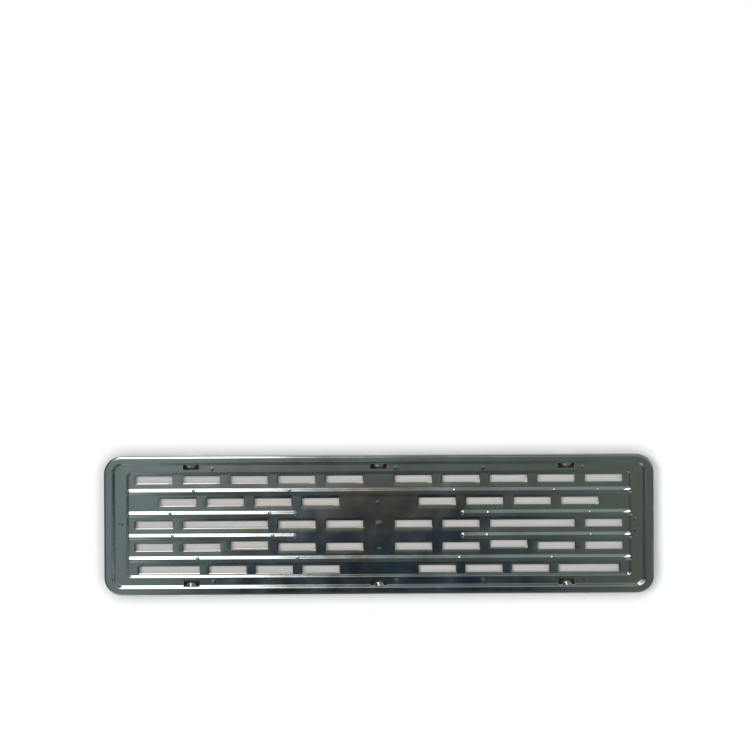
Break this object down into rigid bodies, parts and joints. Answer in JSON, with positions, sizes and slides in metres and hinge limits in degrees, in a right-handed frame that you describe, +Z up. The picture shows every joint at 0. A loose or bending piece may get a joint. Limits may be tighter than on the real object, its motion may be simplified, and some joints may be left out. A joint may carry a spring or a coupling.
{
  "type": "number plate holder",
  "caption": "Pressed chrome-plated steel tray with a raised rim, slotted ribbed panel and snap nubs that holds a long vehicle number plate.",
  "frame": {"origin": "middle of the holder in the plane of its back, where it meets the vehicle", "axes": "+X along the width to the right as seen from the front, +Y out of the back into the vehicle, +Z up"},
  "size_m": [0.54, 0.0082, 0.136],
  "materials": {
    "chromed_steel": "polished"
  },
  "bodies": {
    "root": {"plate_holder": "chromed_steel"}
  },
  "joints": []
}
